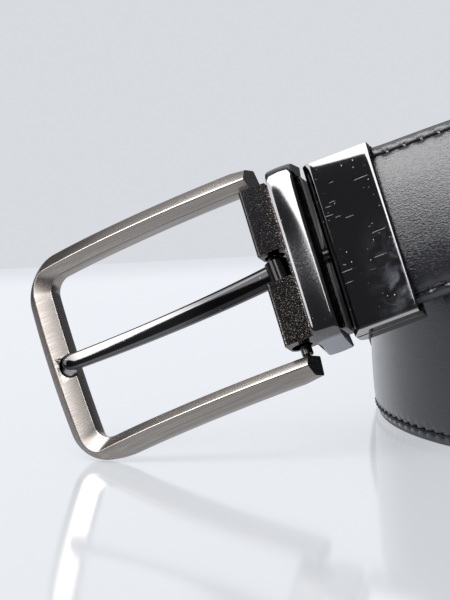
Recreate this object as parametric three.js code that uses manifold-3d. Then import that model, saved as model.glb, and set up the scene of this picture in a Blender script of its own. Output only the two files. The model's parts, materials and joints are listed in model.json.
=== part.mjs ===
// Reversible belt, rolled in a loose coil on its edge, with its buckle leaning out at the front left.
// Millimetres, +Z up. The origin is on the table, under the middle of the belt's outline.

import * as THREE from 'three';
import { mergeVertices } from 'three/addons/utils/BufferGeometryUtils.js';
import Module from 'manifold-3d';

// Clearance between pieces that fit together
const GAP = 0.3;

// Driving dimensions of the strap
const STRAP_WIDTH = 34.3;
const STRAP_THICKNESS = 3.6;
const SHOULDER_THICKNESS = 3.0;
const EDGE_THICKNESS = 1.4;
const STRAP_STEP = 6;
const TAIL_START = { x: 62.0, y: 87.4, heading: 64.7 };
const TAIL_TAPER = 16;
const TAIL_HOLES = { count: 5, first: 95, spacing: 25, radius: 2.2 };

// The strap's way from its tail to the buckle: stretches of length (mm), with the bend (1/m) and
// the twist (degrees/m) at the start of each. Both change evenly along a stretch.
const ROUTE = [
  { length: 310, bend: 10.1, twist: 0 },
  { length: 310, bend: 10.4, twist: 0 },
  { length: 45, bend: 10.8, twist: 0 },
  { length: 45, bend: 13.0, twist: -225 },
  { length: 45, bend: 14.45, twist: -256 },
  { length: 45, bend: 14.85, twist: -82 },
  { length: 45, bend: 14.3, twist: 119 },
  { length: 45, bend: 13.05, twist: 186 },
  { length: 45, bend: 11.15, twist: 98 },
  { length: 45, bend: 8.05, twist: -47 },
  { length: 27, bend: 4.0, twist: -93 },
  { length: 0, bend: -0.7, twist: 0 },
];

// Buckle end, in its own axes: X along the strap away from the buckle from the clamp's left side,
// Y across the strap, Z out of the clamp's front face.
const CLAMP = { length: 14.4, height: 37.1, depth: 7.2, wall: 1.4, fold: 2.0 };
const CLAMP_SLOT = { height: 34.9, depth: 4.2 };
const CLAMP_GROOVE = { from: 2.8, width: 0.8, depth: 0.45 };
const STRAP_INSET = 3;
const SWIVEL_Z = -CLAMP.depth / 2;
const STEM = { radius: 1.5, from: -5.4, to: 2.6, headRadius: 1.8 };
const BLOCK = { left: -14.1, bridgeLeft: -8.2, stepLeft: -7.6, right: -0.8, depth: 7.3, cornerRadius: 0.8 };
const UPPER_LUG = { from: 3.9, to: 18.1 };
const LOWER_LUG = { from: -15.9, to: -2.3 };
const BLOCK_UNDER_LOOP = { from: -16.4, to: 16.9 };
const LOOP = { left: -6.55, right: -1.0, front: 6.0, back: -3.6, bar: 1.6, halfFront: 18.9, halfBack: 20.1 };
const LOOP_CORNER = 3.0;
const LOOP_INNER_HALF = 17.2;
const LOOP_INNER_CORNER = 1.2;
const AXLE = { x: -11.5, z: -4.5, radius: 1.2, halfLength: 18.2 };
const TENON = { radius: 0.4, halfLength: 20.4 };
const LUG_HOLE_RADIUS = 2.2;

// Buckle frame, from the front bar's outer side (0) to the arms' ends, the bowed ridge line at 0.
// It narrows by taper on each side towards the bar, the bar's end bends back by a further drop,
// and the bar's middle bulges outwards.
const FRAME = { length: 51.7, width: 46.9, taper: 0.5, bow: 150, drop: 1.6, bulge: 1.2 };
const FRAME_PITCH = 2.6;
const FRAME_YAW = 2.1;
const FRAME_OFFSET = { along: 11.83, out: 0.97 };
const ARM = { width: 4.75, ridge: 2.6, outerDrop: 1.5, innerDrop: 1.3, depth: 5.3, outerDepth: 4.5 };
const ARM_AT_CORNER = { ...ARM, outerDrop: 1.8, innerDrop: 1.6 };
const BAR = { width: 5.4, ridge: 1.55, outerDrop: 0.4, innerDrop: 1.1, depth: 6.0, outerDepth: 4.0 };

// How far each line's round corner reaches along the arm and across the frame
const CORNER = {
  back: { along: 11.6, across: 7.0 },
  outer: { along: 8.4, across: 8.6 },
  ridge: { along: 3.4, across: 4.2 },
  inner: { along: 3.2, across: 3.3 },
};
const ARM_END = { front: 0.25, slope: 0.33, tuck: 0.4 };
const ARM_HOLE = { radius: 0.7, halfLength: 20.8 };
const NOTCH = { across: -0.75, halfWidth: 2.7, depth: 1.75, end: 2.0 };

// Prong, in the frame's axes
const PRONG = { width: 4.6, thickness: 3.0, tipWidth: 3.4, tipThickness: 2.0, yaw: 1.4, across: 0.45 };
const PRONG_TIP = { along: 3.9, out: 1.35 };
const PRONG_DIP = 2.3;
const PRONG_RING = { radius: 2.45, hole: 1.6, width: 4.6 };

const wasm = await Module();
wasm.setup();

// Solids

function solidFrom(geometry) {
  const bare = geometry.index ? geometry.toNonIndexed() : geometry.clone();
  for (const name of Object.keys(bare.attributes)) {
    if (name !== 'position') bare.deleteAttribute(name);
  }
  const merged = mergeVertices(bare, 1e-4);
  const mesh = new wasm.Mesh({
    numProp: 3,
    vertProperties: new Float32Array(merged.attributes.position.array),
    triVerts: new Uint32Array(merged.index.array),
  });
  return new wasm.Manifold(mesh);
}

function geometryFrom(solid) {
  const mesh = solid.getMesh();
  const geometry = new THREE.BufferGeometry();
  geometry.setAttribute('position', new THREE.BufferAttribute(new Float32Array(mesh.vertProperties), 3));
  geometry.setIndex(new THREE.BufferAttribute(new Uint32Array(mesh.triVerts), 1));
  return geometry;
}

function join(...geometries) {
  return geometryFrom(geometries.map(solidFrom).reduce((whole, next) => whole.add(next)));
}

function cut(geometry, ...tools) {
  return geometryFrom(tools.map(solidFrom).reduce((whole, next) => whole.subtract(next), solidFrom(geometry)));
}

// Joins rings of points, one after the other, into a closed skin with flat ends.
function loft(rings) {
  const count = rings[0].length;
  const positions = rings.flat().flatMap((point) => [point.x, point.y, point.z]);
  const index = [];
  for (let ring = 0; ring + 1 < rings.length; ring += 1) {
    for (let k = 0; k < count; k += 1) {
      const a = ring * count + k;
      const b = ring * count + ((k + 1) % count);
      index.push(a, b, b + count, a, b + count, a + count);
    }
  }
  const last = (rings.length - 1) * count;
  for (let k = 1; k + 1 < count; k += 1) {
    index.push(0, k + 1, k);
    index.push(last, last + k, last + k + 1);
  }
  const geometry = new THREE.BufferGeometry();
  geometry.setAttribute('position', new THREE.Float32BufferAttribute(positions, 3));
  geometry.setIndex(index);
  return geometry;
}

// A box from its least and greatest corners.
function block(x0, x1, y0, y1, z0, z1) {
  return new THREE.BoxGeometry(x1 - x0, y1 - y0, z1 - z0)
    .translate((x0 + x1) / 2, (y0 + y1) / 2, (z0 + z1) / 2);
}

// A round bar along Y.
function barY(radius, from, to, x, z, sides = 24) {
  return new THREE.CylinderGeometry(radius, radius, to - from, sides).translate(x, (from + to) / 2, z);
}

// A round bar along X.
function barX(radius, from, to, z, sides = 24) {
  return new THREE.CylinderGeometry(radius, radius, to - from, sides)
    .rotateZ(Math.PI / 2).translate((from + to) / 2, 0, z);
}

// An outline in the XZ plane pushed along Y from one value to another.
function slabY(outline, from, to) {
  return new THREE.ExtrudeGeometry(outline, { depth: to - from, bevelEnabled: false, curveSegments: 6 })
    .rotateX(Math.PI / 2).translate(0, to, 0);
}

// An outline in the YZ plane pushed along X from one value to another.
function slabX(outline, from, to) {
  return new THREE.ExtrudeGeometry(outline, { depth: to - from, bevelEnabled: false, curveSegments: 5 })
    .rotateX(Math.PI / 2).rotateZ(Math.PI / 2).translate(from, 0, 0);
}

// A closed outline through points, each corner rounded by its own radius.
function roundedOutline(corners) {
  const outline = new THREE.Shape();
  const count = corners.length;
  corners.forEach((corner, k) => {
    const here = new THREE.Vector2(corner.x, corner.y);
    const before = corners[(k + count - 1) % count];
    const after = corners[(k + 1) % count];
    const back = new THREE.Vector2(before.x, before.y).sub(here).normalize();
    const ahead = new THREE.Vector2(after.x, after.y).sub(here).normalize();
    const reach = corner.r ? corner.r / Math.tan(Math.acos(back.dot(ahead)) / 2) : 0;
    const start = here.clone().addScaledVector(back, reach);
    const end = here.clone().addScaledVector(ahead, reach);
    if (k === 0) outline.moveTo(start.x, start.y);
    else outline.lineTo(start.x, start.y);
    if (corner.r) outline.quadraticCurveTo(here.x, here.y, end.x, end.y);
  });
  outline.closePath();
  return outline;
}

// Strap

// Follows the route: the place, the direction of travel, the outward normal and the width's
// direction at every step. The width stands up on the table and turns only where the strap twists.
function followRoute() {
  const heading = THREE.MathUtils.degToRad(TAIL_START.heading);
  const place = new THREE.Vector3(TAIL_START.x, TAIL_START.y, STRAP_WIDTH / 2);
  const travel = new THREE.Vector3(Math.cos(heading), Math.sin(heading), 0);
  const width = new THREE.Vector3(0, 0, 1);
  const stations = [];
  const keep = () => stations.push({
    place: place.clone(),
    travel: travel.clone(),
    width: width.clone(),
    normal: width.clone().cross(travel),
  });
  keep();
  for (let row = 0; row + 1 < ROUTE.length; row += 1) {
    const steps = Math.round(ROUTE[row].length / STRAP_STEP) * 2;
    const length = ROUTE[row].length / steps;
    for (let k = 0; k < steps; k += 1) {
      const share = (k + 0.5) / steps;
      const bend = THREE.MathUtils.lerp(ROUTE[row].bend, ROUTE[row + 1].bend, share) / 1000;
      const twist = THREE.MathUtils.lerp(ROUTE[row].twist, ROUTE[row + 1].twist, share) / 1000;
      const turn = travel.clone().multiplyScalar(THREE.MathUtils.degToRad(twist));
      turn.addScaledVector(width, -bend);
      const axis = turn.clone().normalize();
      const angle = turn.length() * length;
      place.addScaledVector(travel.clone().applyAxisAngle(axis, angle / 2), length);
      travel.applyAxisAngle(axis, angle);
      width.applyAxisAngle(axis, angle);
      if (k % 2 === 1) keep();
    }
  }
  return stations;
}

// The strap's section, round the edge: out is along the normal, up is along the width. It is
// thickest over its flat middle and its edges are rounded.
function strapSection(widthShare) {
  const half = (STRAP_WIDTH / 2) * widthShare;
  const side = [
    { out: EDGE_THICKNESS / 2, up: half },
    { out: SHOULDER_THICKNESS / 2 - 0.15, up: half - 0.7 },
    { out: SHOULDER_THICKNESS / 2, up: half - 2.5 * widthShare },
    { out: STRAP_THICKNESS / 2, up: 6 * widthShare },
  ];
  const front = [...side, ...side.map(({ out, up }) => ({ out, up: -up })).reverse()];
  return [...front, ...front.map(({ out, up }) => ({ out: -out, up: -up }))].reverse();
}

function strapRing({ place, normal, width }, widthShare = 1) {
  return strapSection(widthShare).map(({ out, up }) => (
    place.clone().addScaledVector(normal, out).addScaledVector(width, up)
  ));
}

// The tail narrows to a rounded point. It stands with its lower edge lifted as it narrows.
function tailRings(first) {
  const shares = [
    { back: 1, share: 0.3 },
    { back: 0.9, share: 0.58 },
    { back: 0.7, share: 0.8 },
    { back: 0.4, share: 0.95 },
  ];
  return shares.map(({ back, share }) => {
    const place = first.place.clone().addScaledVector(first.travel, -TAIL_TAPER * back);
    return strapRing({ ...first, place }, share);
  });
}

function stationAt(stations, distance) {
  return stations[Math.round(distance / STRAP_STEP)];
}

function makeStrap(stations) {
  const rings = [...tailRings(stations[0]), ...stations.map((station) => strapRing(station))];
  const holes = Array.from({ length: TAIL_HOLES.count }, (unused, k) => {
    const { place, normal } = stationAt(stations, TAIL_HOLES.first + k * TAIL_HOLES.spacing);
    const upright = new THREE.Quaternion().setFromUnitVectors(new THREE.Vector3(0, 1, 0), normal);
    return new THREE.CylinderGeometry(TAIL_HOLES.radius, TAIL_HOLES.radius, 3 * STRAP_THICKNESS, 16)
      .applyQuaternion(upright).translate(place.x, place.y, place.z);
  });
  return cut(loft(rings), ...holes);
}

// Clamp

function makeClamp() {
  const { length, height, depth, wall, fold } = CLAMP;
  const profile = roundedOutline([
    { x: 0, y: 0, r: fold },
    { x: 0, y: -depth, r: fold },
    { x: length, y: -depth, r: 0.5 },
    { x: length, y: 0, r: 0.5 },
  ]);
  const body = slabY(profile, -height / 2, height / 2);
  const middle = -depth / 2;
  const slot = block(wall, length + 1, -CLAMP_SLOT.height / 2, CLAMP_SLOT.height / 2,
    middle - CLAMP_SLOT.depth / 2, middle + CLAMP_SLOT.depth / 2);
  const grooves = [-1, 1].map((side) => {
    const floor = side * (height / 2 - CLAMP_GROOVE.depth);
    const past = side * (height / 2 + 1);
    return block(-1, length + 1, Math.min(floor, past), Math.max(floor, past),
      -CLAMP_GROOVE.from - CLAMP_GROOVE.width, -CLAMP_GROOVE.from);
  });
  const stemHole = barX(STEM.radius + GAP, -1, wall + 1, SWIVEL_Z);
  return cut(body, slot, ...grooves, stemHole);
}

// The stud on which the buckle turns over. Its head is behind the clamp's folded side.
function makeStem() {
  const head = barX(STEM.headRadius, CLAMP.wall + GAP, STEM.to, SWIVEL_Z);
  return join(barX(STEM.radius, STEM.from, STEM.to, SWIVEL_Z), head);
}

// Hinge block

function lugProfile() {
  const { left, bridgeLeft, depth, cornerRadius } = BLOCK;
  return roundedOutline([
    { x: left, y: 0, r: cornerRadius },
    { x: left, y: -depth, r: 2.6 },
    { x: bridgeLeft, y: -depth },
    { x: bridgeLeft, y: 0 },
  ]);
}

function makeHingeBlock() {
  const { bridgeLeft, stepLeft, right, depth } = BLOCK;
  const lugs = [UPPER_LUG, LOWER_LUG].map(({ from, to }) => slabY(lugProfile(), from, to));
  const bridge = block(bridgeLeft, stepLeft, LOWER_LUG.from, UPPER_LUG.to - 1.2, -depth, 0);
  const base = block(stepLeft, right, BLOCK_UNDER_LOOP.from, BLOCK_UNDER_LOOP.to, -depth + 0.5, -0.2);
  const axleHole = barY(LUG_HOLE_RADIUS, -25, 25, AXLE.x, AXLE.z);
  const stemHole = barX(STEM.radius + GAP, STEM.from - GAP, 1, SWIVEL_Z);
  return cut(join(...lugs, bridge, base), axleHole, stemHole);
}

// Keeper loop

function makeLoop() {
  const { left, right, front, back, bar, halfFront, halfBack } = LOOP;
  const outline = roundedOutline([
    { x: -halfBack, y: back, r: 0.6 },
    { x: -halfFront, y: front, r: LOOP_CORNER },
    { x: halfFront, y: front, r: LOOP_CORNER },
    { x: halfBack, y: back, r: 0.6 },
    { x: LOOP_INNER_HALF, y: back },
    { x: LOOP_INNER_HALF, y: front - bar, r: LOOP_INNER_CORNER },
    { x: -LOOP_INNER_HALF, y: front - bar, r: LOOP_INNER_CORNER },
    { x: -LOOP_INNER_HALF, y: back },
  ]);
  return slabX(outline, left, right);
}

// Axle

function makeAxle() {
  const pin = barY(AXLE.radius, -AXLE.halfLength, AXLE.halfLength, 0, 0);
  const tenons = barY(TENON.radius, -TENON.halfLength, TENON.halfLength, 0, 0, 16);
  return join(pin, tenons);
}

// Frame. Its points are placed by how far they are from the bar's outer side (along), from the
// middle (across) and in front of the ridge line (out). The ridge line bows out to the front.

function framePoint(along, across, out) {
  const middle = FRAME.length / 2;
  const bowed = (middle ** 2 - (along - middle) ** 2) / (2 * FRAME.bow);
  const towardsBar = Math.max(0, 1 - along / middle);
  const dropped = FRAME.drop * towardsBar ** 4;
  const bulged = FRAME.bulge * (1 - (across / (FRAME.width / 2)) ** 2) * Math.max(0, 1 - along / 12);
  return new THREE.Vector3(along - bulged - FRAME.length, across, out + bowed - dropped);
}

function halfWidthAt(along) {
  return FRAME.width / 2 - FRAME.taper * (1 - along / FRAME.length);
}

// One of the lines that run round the frame: straight arm, round corner, bar. A place names the
// stretch and the share of it, counted from the arm's end to the bar's middle.
function frameLine(armInset, barInset, corner, place) {
  const cornerAlong = barInset + corner.along;
  const cornerAcross = halfWidthAt(cornerAlong) - armInset - corner.across;
  if (place.part === 'arm') {
    const along = THREE.MathUtils.lerp(FRAME.length, cornerAlong, place.share);
    return { along, across: halfWidthAt(along) - armInset };
  }
  if (place.part === 'corner') {
    const angle = (place.share * Math.PI) / 2;
    return {
      along: cornerAlong - corner.along * Math.sin(angle),
      across: cornerAcross + corner.across * Math.cos(angle),
    };
  }
  return { along: barInset, across: cornerAcross * (1 - 2 * place.share) };
}

// The size called name, at one place of the frame.
function sizeAt(place, name) {
  if (place.part === 'arm') return THREE.MathUtils.lerp(ARM[name], ARM_AT_CORNER[name], place.share);
  if (place.part === 'corner') return THREE.MathUtils.lerp(ARM_AT_CORNER[name], BAR[name], place.share);
  return BAR[name];
}

// The section's corners at one place, from the outer back edge round to the outer front edge.
function frameSection(place, side) {
  const atEnd = place.part === 'arm' && place.share === 0;
  const tuck = atEnd ? ARM_END.tuck : 0;
  const lines = [
    { arm: tuck, bar: 0.3, corner: CORNER.back, out: -sizeAt(place, 'outerDepth') },
    { arm: ARM.width, bar: BAR.width, corner: CORNER.inner, out: -sizeAt(place, 'depth') },
    { arm: ARM.width, bar: BAR.width, corner: CORNER.inner, out: -sizeAt(place, 'innerDrop') },
    { arm: ARM.ridge, bar: BAR.ridge, corner: CORNER.ridge, out: 0 },
    { arm: tuck, bar: 0, corner: CORNER.outer, out: -sizeAt(place, 'outerDrop') },
  ];
  return lines.map(({ arm, bar, corner, out }) => {
    const { along, across } = frameLine(arm, bar, corner, place);
    return framePoint(along, side * across, out);
  });
}

function framePlaces() {
  const shares = (count) => Array.from({ length: count }, (unused, k) => k / count);
  return [
    ...shares(8).map((share) => ({ part: 'arm', share })),
    ...shares(8).map((share) => ({ part: 'corner', share })),
    ...shares(4).map((share) => ({ part: 'bar', share: share / 2 })),
  ];
}

// The arm's end leans back: its rear edge reaches further than its front edge.
function leanEnd(ring) {
  return ring.map((point) => {
    const lean = ARM_END.front - ARM_END.slope * point.z;
    return point.clone().add(new THREE.Vector3(lean, 0, 0));
  });
}

function makeFrame() {
  const places = framePlaces();
  const upper = places.map((place) => frameSection(place, 1));
  const lower = places.map((place) => frameSection(place, -1)).reverse();
  const middle = [frameSection({ part: 'bar', share: 0.5 }, 1)];
  const rings = [...upper, ...middle, ...lower];
  rings[0] = leanEnd(rings[0]);
  rings[rings.length - 1] = leanEnd(rings[rings.length - 1]);
  const ring = loft(rings);
  return cut(ring, makeNotch(), armHoles());
}

// The round bevelled hollow in the bar's face for the prong's tip.
function makeNotch() {
  const { across, halfWidth, depth, end } = NOTCH;
  const middle = framePoint(end + halfWidth, across, 0);
  const round = new THREE.SphereGeometry(1, 20, 12).scale(halfWidth, halfWidth, depth);
  const run = new THREE.CylinderGeometry(1, 1, 6, 20).rotateZ(Math.PI / 2)
    .scale(1, halfWidth, depth).translate(3, 0, 0);
  return join(round, run).rotateZ(THREE.MathUtils.degToRad(PRONG.yaw))
    .translate(middle.x, middle.y, middle.z);
}

function armHoles() {
  const hole = barY(ARM_HOLE.radius, -ARM_HOLE.halfLength, ARM_HOLE.halfLength, 0, 0, 16);
  const axle = axleInFrame();
  return hole.translate(axle.x, 0, axle.z);
}

// Where the axle is in the frame's own axes.
function axleInFrame() {
  const pitch = THREE.MathUtils.degToRad(FRAME_PITCH);
  return new THREE.Vector3(AXLE.x + FRAME_OFFSET.along, 0, AXLE.z + FRAME_OFFSET.out)
    .applyAxisAngle(new THREE.Vector3(0, 1, 0), pitch);
}

// Prong, lying along -X from the axle, with its curve dipping behind the frame's bow.

function prongSection(share) {
  const half = THREE.MathUtils.lerp(PRONG.width, PRONG.tipWidth, share) / 2;
  const thick = THREE.MathUtils.lerp(PRONG.thickness, PRONG.tipThickness, share) / 2;
  const right = [
    { across: 0.45 * half, out: thick },
    { across: 0.85 * half, out: 0.62 * thick },
    { across: half, out: 0.1 * thick },
    { across: half, out: -0.45 * thick },
    { across: 0.72 * half, out: -thick },
  ];
  return [...right, ...right.map(({ across, out }) => ({ across: -across, out })).reverse()];
}

function makeProng() {
  const axle = axleInFrame();
  const tip = framePoint(PRONG_TIP.along, 0, PRONG_TIP.out);
  const reach = axle.x - tip.x;
  const rise = tip.z - axle.z;
  const roundTip = [
    { share: 0.972, size: 0.94 },
    { share: 0.99, size: 0.74 },
    { share: 1, size: 0.4 },
  ];
  const straight = Array.from({ length: 12 }, (unused, k) => ({ share: (k / 11) * 0.945, size: 1 }));
  const rings = [...straight, ...roundTip].map(({ share, size }) => {
    const x = -share * reach;
    const z = share * rise - PRONG_DIP * 4 * share * (1 - share);
    return prongSection(share).map(({ across, out }) => (
      new THREE.Vector3(x, across * size, z + out * size)
    ));
  });
  const { radius, hole, width } = PRONG_RING;
  const boss = barY(radius, -width / 2, width / 2, 0, 0, 28);
  const eye = barY(hole, -width, width, 0, 0);
  return cut(join(loft(rings), boss), eye);
}

// Assembly

function piece(name, geometry, material) {
  const mesh = new THREE.Mesh(geometry, material);
  mesh.name = name;
  return mesh;
}

function metal(color, roughness) {
  return new THREE.MeshStandardMaterial({ color, roughness, metalness: 1 });
}

function makeBuckleEnd() {
  const gunmetal = metal(0x3a3a3e, 0.15);
  const brushed = metal(0x77736f, 0.35);
  const castMetal = metal(0x2c2c30, 0.4);

  const buckleEnd = new THREE.Group();
  buckleEnd.add(piece('clamp_shell', makeClamp(), gunmetal));
  buckleEnd.add(piece('swivel_stem', makeStem(), gunmetal));
  buckleEnd.add(piece('hinge_block', makeHingeBlock(), castMetal));
  buckleEnd.add(piece('keeper_loop', makeLoop(), gunmetal));

  const pivot = new THREE.Group();
  pivot.position.set(AXLE.x, 0, AXLE.z);
  pivot.rotation.set(0, -THREE.MathUtils.degToRad(FRAME_PITCH), THREE.MathUtils.degToRad(FRAME_YAW), 'ZYX');
  buckleEnd.add(pivot);

  pivot.add(piece('axle_pin', makeAxle(), gunmetal));
  const frame = piece('buckle_frame', makeFrame(), brushed);
  frame.position.copy(axleInFrame().negate());
  pivot.add(frame);
  const prong = piece('prong', makeProng(), gunmetal);
  prong.position.y = PRONG.across;
  prong.rotation.z = THREE.MathUtils.degToRad(PRONG.yaw);
  pivot.add(prong);
  return buckleEnd;
}

function makeBelt() {
  const leather = new THREE.MeshStandardMaterial({ color: 0x131315, roughness: 0.5, metalness: 0 });
  const stations = followRoute();
  const { place, travel, width, normal } = stations[stations.length - 1];
  const belt = new THREE.Group();
  belt.add(piece('strap', makeStrap(stations), leather));

  const buckleEnd = makeBuckleEnd();
  const axes = new THREE.Matrix4().makeBasis(travel.clone().negate(), width, normal);
  buckleEnd.quaternion.setFromRotationMatrix(axes);
  buckleEnd.position.copy(place).addScaledVector(travel, STRAP_INSET).addScaledVector(normal, CLAMP.depth / 2);
  belt.add(buckleEnd);
  belt.updateMatrixWorld(true);

  const middle = new THREE.Box3().setFromObject(belt, true).getCenter(new THREE.Vector3());
  belt.position.set(-middle.x, -middle.y, 0);
  return belt;
}

export default makeBelt();
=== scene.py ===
import json
import math

import bmesh
import bpy
import numpy as np
from mathutils import Matrix, Vector

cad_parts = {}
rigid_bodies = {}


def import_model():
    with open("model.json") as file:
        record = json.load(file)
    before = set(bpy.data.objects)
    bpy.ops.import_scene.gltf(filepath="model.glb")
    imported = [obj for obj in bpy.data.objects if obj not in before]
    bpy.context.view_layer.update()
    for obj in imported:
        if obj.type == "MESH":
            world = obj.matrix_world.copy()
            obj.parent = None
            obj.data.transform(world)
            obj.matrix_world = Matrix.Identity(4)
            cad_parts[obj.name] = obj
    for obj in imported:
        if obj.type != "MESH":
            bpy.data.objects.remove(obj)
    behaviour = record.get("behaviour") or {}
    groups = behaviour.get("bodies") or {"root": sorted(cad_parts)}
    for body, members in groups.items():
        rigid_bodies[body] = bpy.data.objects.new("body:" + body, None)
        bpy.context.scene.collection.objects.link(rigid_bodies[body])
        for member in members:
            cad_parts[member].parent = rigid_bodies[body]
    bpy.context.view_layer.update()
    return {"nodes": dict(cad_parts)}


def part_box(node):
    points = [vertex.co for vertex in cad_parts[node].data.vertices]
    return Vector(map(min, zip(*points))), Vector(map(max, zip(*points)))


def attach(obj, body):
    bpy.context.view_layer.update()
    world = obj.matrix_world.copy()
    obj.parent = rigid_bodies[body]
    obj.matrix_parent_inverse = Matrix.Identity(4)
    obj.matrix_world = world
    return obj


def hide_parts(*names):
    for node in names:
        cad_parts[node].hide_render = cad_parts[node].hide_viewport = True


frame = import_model()

# Sizes are in millimetres and angles in degrees. Meshes and places become metres through MM.
MM = 0.001

# Strap
STRAP_WIDTH = 34.3
STRAP_THICKNESS = 3.6
STRAP_ROLL = {"depth": 0.3, "reach": 1.8}
STRAP_CROWN = {"depth": 0.32, "reach": 6.5}
EDGE_ROUNDING = {"depth": 0.16, "reach": 0.16}
EDGE_HALF = 0.45
MARGIN_SLOPE = 0.27
SEAM_CHANNEL = {"depth": 0.16, "reach": 0.4}
RING_STEP = 0.75
TAIL_START = {"x": 62.0, "y": 87.4, "heading": 64.7}
TAIL_TAPER = 16
TAIL_STATIONS = (1.0, 0.985, 0.95, 0.88, 0.78, 0.64, 0.46, 0.24)
TAIL_ROUNDING = {"bluntness": 2.5, "power": 0.4, "least": 0.06}
TAIL_TRIM = 10
MOUTH_LIFT = {"height": 1.2, "start": 4, "full": 11, "hold": 45, "end": 120}
CUPPING = {"depth": 1.8, "start": 0, "full": 16, "hold": 50, "end": 120}
TAIL_HOLES = {"count": 5, "first": 95, "spacing": 25, "radius": 2.2}
STITCH = {"inset": 2.0, "rings": 5, "thread": 0.27, "hole_depth": 0.65, "hole_reach": 0.5}
STITCH_ARCH = {"foot": 0.55, "rise": 0.7, "power": 0.55, "thin": 0.55, "swell": 0.45}
STITCH_MESH = {"from": 0.07, "to": 0.93, "rings": 7, "sides": 6}

# How far the section's points are from the strap's edge, on the painted edge and on the face
PAINT_INSETS = (0.06, 0.3, 0.85)
FACE_INSETS = (1.3, 1.65, 2.0, 2.35, 2.7, 3.4, 4.8, 7.0, 11.0)

# The strap's finishes, in the order of its material slots
FRONT, REVERSE, PAINT = range(3)

# The strap's way from its tail to the buckle: length of each stretch, with the bend (1/m) and the
# twist (degrees/m) at its start. Both change evenly along a stretch.
ROUTE = [
    {"length": 310, "bend": 10.1, "twist": 0},
    {"length": 310, "bend": 10.4, "twist": 0},
    {"length": 45, "bend": 10.8, "twist": 0},
    {"length": 45, "bend": 13.0, "twist": -225},
    {"length": 45, "bend": 14.45, "twist": -256},
    {"length": 45, "bend": 14.85, "twist": -82},
    {"length": 45, "bend": 14.3, "twist": 119},
    {"length": 45, "bend": 13.05, "twist": 186},
    {"length": 45, "bend": 11.15, "twist": 98},
    {"length": 45, "bend": 8.05, "twist": -47},
    {"length": 27, "bend": 4.0, "twist": -93},
    {"length": 0, "bend": -0.7, "twist": 0},
]

# Buckle end, in its own axes: X along the strap away from the buckle, Y across it, Z to the front
STRAP_INSET = 3
CLAMP = {"length": 14.4, "height": 37.1, "depth": 7.2, "wall": 1.4, "fold": 2.0}
CLAMP_SLOT = {"height": 34.9, "depth": 4.2}
CLAMP_GROOVE = {"from": 2.8, "width": 0.8, "depth": 0.45}
CLAMP_DIP = {
    "top": {"depth": 0.3, "reach": 1.1, "left_share": 0.25},
    "side": {"depth": 0.02, "reach": 0.25},
    "foot": {"depth": 0.42, "reach": 0.42},
}
CLAMP_EDGE = {"inset": 0.3, "shoulder_x": 0.06, "shoulder_z": 0.05, "side_z": 0.18}
CLAMP_FOLD_END = 7
CLAMP_LEVELS = {"at_end": [0, 0.07, 0.2], "spread_from": 0.45, "spread": 20}
CUT_PAST = 1
STEM_HOLE_RADIUS = 1.8
LOOP = {"left": -6.55, "right": -1.0, "front": 6.0, "back": -3.6, "bar": 1.6}
LOOP_HALF = {"front": 18.9, "back": 20.1, "inner": 17.2}
LOOP_CORNER = {"outer": 3.0, "inner": 1.2}
LOOP_CROWN = 0.16
LOOP_EDGE = {"depth": 0.16, "from": 0.86, "spread": 0.02}
LOOP_INNER_CHAMFER = 0.25
LOOP_LEAN = {"drop": 0.5, "left_reach": 6, "right_reach": 12}
AXLE = {"x": -11.5, "z": -4.5, "radius": 1.2, "half_length": 18.2, "chamfer": 0.25, "shoulder": 0.02}
TENON = {"radius": 0.4, "half_length": 20.4}
AXLE_RIBS = {"from": 2.9, "to": 3.9, "count": 3, "depth": 0.12}

# Frame, from the bar's outer side (0) to the arms' ends, the bowed ridge line at 0
FRAME = {"length": 51.7, "width": 46.9, "taper": 0.5, "bow": 150, "drop": 1.6}
BAR_BULGE = {"depth": 1.2, "reach": 12}
FRAME_PITCH = 2.6
FRAME_YAW = 2.1
FRAME_OFFSET = {"along": 11.83, "out": 0.97}
ARM = {"width": 4.75, "ridge": 2.6, "outer_drop": 1.5, "inner_drop": 1.3, "depth": 5.3, "outer_depth": 4.5}
ARM_AT_CORNER = {**ARM, "outer_drop": 1.8, "inner_drop": 1.6}
BAR = {"width": 5.4, "ridge": 1.55, "outer_drop": 0.4, "inner_drop": 1.1, "depth": 6.0, "outer_depth": 4.0}
BAR_BACK_INSET = 0.3
CORNER = {
    "back": {"along": 11.6, "across": 7.0},
    "outer": {"along": 8.4, "across": 8.6},
    "ridge": {"along": 3.4, "across": 4.2},
    "inner": {"along": 3.2, "across": 3.3},
}
ARM_END = {"front": 0.25, "slope": 0.33, "tuck": 0.4}
ARM_HOLE = {"radius": 0.7, "half_length": 20.8, "sides": 24}
FRAME_ROUNDING = 0.38
NOTCH = {"across": -0.75, "half_width": 3.0, "depth": 1.8, "end": 1.65, "length": 6, "nose": 0.04}

# Prong
PRONG = {"width": 4.6, "thickness": 3.0, "tip_width": 3.4, "tip_thickness": 2.0, "yaw": 1.4, "across": 0.45}
PRONG_TIP = {"along": 3.9, "out": 1.35}
PRONG_DIP = 2.3
PRONG_TOP = {"across_power": 0.8, "out_power": 0.65, "base": 0.1, "height": 0.9}
PRONG_UNDERSIDE = {"half": 0.72, "side": 0.45}
PRONG_NOSE = {"from": 0.945, "length": 0.055, "power": 0.8, "least": 0.12}
PRONG_NOSE_TURN = (20, 40, 58, 72, 82, 90)
PRONG_RING = {"radius": 2.45, "hole": 1.6, "width": 4.6}

# Camera
CAMERA_PLACE = (-92.04, -750.85, 131.22)
CAMERA_LENS = 210
CAMERA_SENSOR = 36
CAMERA_TILT = 8.0
CAMERA_ROLL = 2.935

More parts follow.
